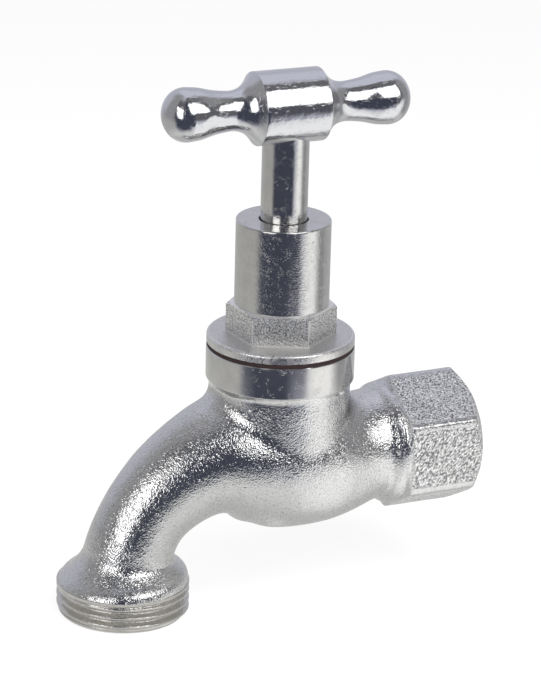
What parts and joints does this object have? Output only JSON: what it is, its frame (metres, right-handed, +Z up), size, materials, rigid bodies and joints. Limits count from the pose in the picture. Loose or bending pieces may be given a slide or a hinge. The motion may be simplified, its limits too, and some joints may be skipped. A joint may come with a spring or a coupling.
{
  "type": "garden tap",
  "caption": "Wall garden tap with a hexagon inlet socket, screw-down valve, tee handle, curved spout and threaded hose outlet.",
  "frame": {"origin": "centre of the inlet's mouth, where the tap screws on to its supply pipe", "axes": "+X out of the inlet towards the wall, +Z up along the spindle, the spout reaching towards -X"},
  "size_m": [0.0869, 0.0296, 0.1081],
  "materials": {
    "cast_brass_plated": "nickel-chrome plating over a rough casting",
    "turned_brass_plated": "bright nickel over fine turning marks",
    "polished_plating": "polished chrome plating over brass",
    "plain_brass": "machined brass",
    "red_fibre": "pressed fibre",
    "seal_rubber": "smooth rubber",
    "dark_steel": "blackened steel"
  },
  "bodies": {
    "fixed": {"body": "cast_brass_plated", "bonnet": "turned_brass_plated", "bonnet_washer": "red_fibre"},
    "valve": {"jumper_valve": "plain_brass", "valve_washer": "seal_rubber", "valve_nut": "plain_brass"},
    "head": {"spindle": "turned_brass_plated", "tee_handle": "polished_plating", "set_screw": "dark_steel", "seal_ring_lower": "seal_rubber", "seal_ring_upper": "seal_rubber"}
  },
  "joints": [
    {"name": "valve_lift", "type": "slide", "parent": "fixed", "child": "valve", "axis": [0, 0, 1], "range_m": [-0.007, 0.0015]},
    {"name": "handle_turn", "type": "hinge", "parent": "valve", "child": "head", "pos_m": [-0.0405, 0, 0.07305], "axis": [0, 0, 1], "range_deg": [-1260, 270]}
  ],
  "couplings": [
    {"joint": "valve_lift", "follows": "handle_turn", "m_per_rad": 0.00031831}
  ]
}
